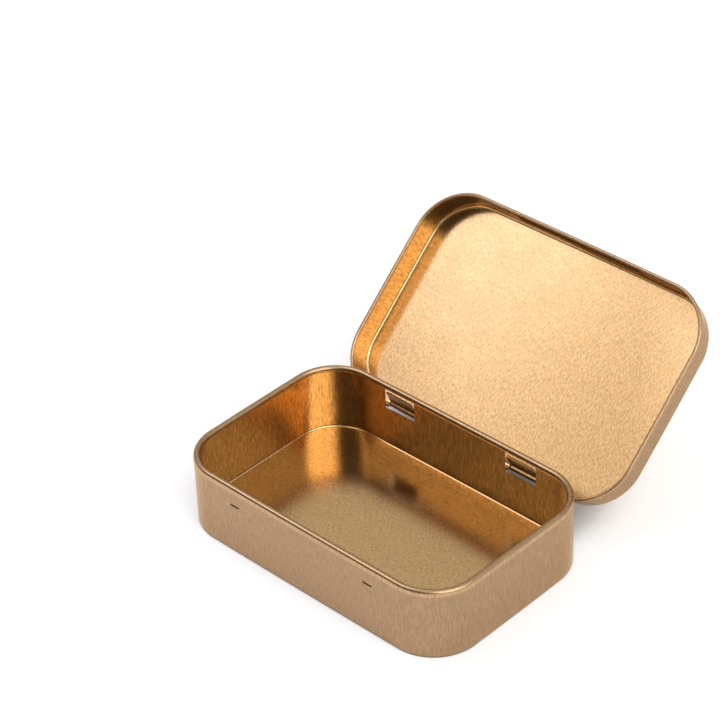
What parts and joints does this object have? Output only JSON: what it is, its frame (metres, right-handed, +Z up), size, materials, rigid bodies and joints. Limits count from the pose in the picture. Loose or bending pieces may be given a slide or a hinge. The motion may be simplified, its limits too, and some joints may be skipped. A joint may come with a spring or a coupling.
{
  "type": "hinged metal tin",
  "caption": "Pocket-size drawn metal tin with rounded corners and a hinged lid, standing open.",
  "frame": {"origin": "centre of the tray's flat bottom, on the surface that the tin rests on", "axes": "+Z up, +X along the long side, +Y from the opening side (catch nibs) to the hinge side"},
  "size_m": [0.0944, 0.1106, 0.053],
  "materials": {
    "tray_gold_lacquer": "gold lacquered tinplate, brushed and glossy",
    "lid_gold_lacquer": "gold lacquered tinplate, brushed and glossy"
  },
  "bodies": {
    "tray": {"base_tray": "tray_gold_lacquer"},
    "lid": {"lid": "lid_gold_lacquer"}
  },
  "joints": [
    {"name": "lid_hinge", "type": "hinge", "parent": "tray", "child": "lid", "pos_m": [0, 0.0303, 0.01262], "axis": [1, 0, 0], "range_deg": [0, 137.9]}
  ]
}
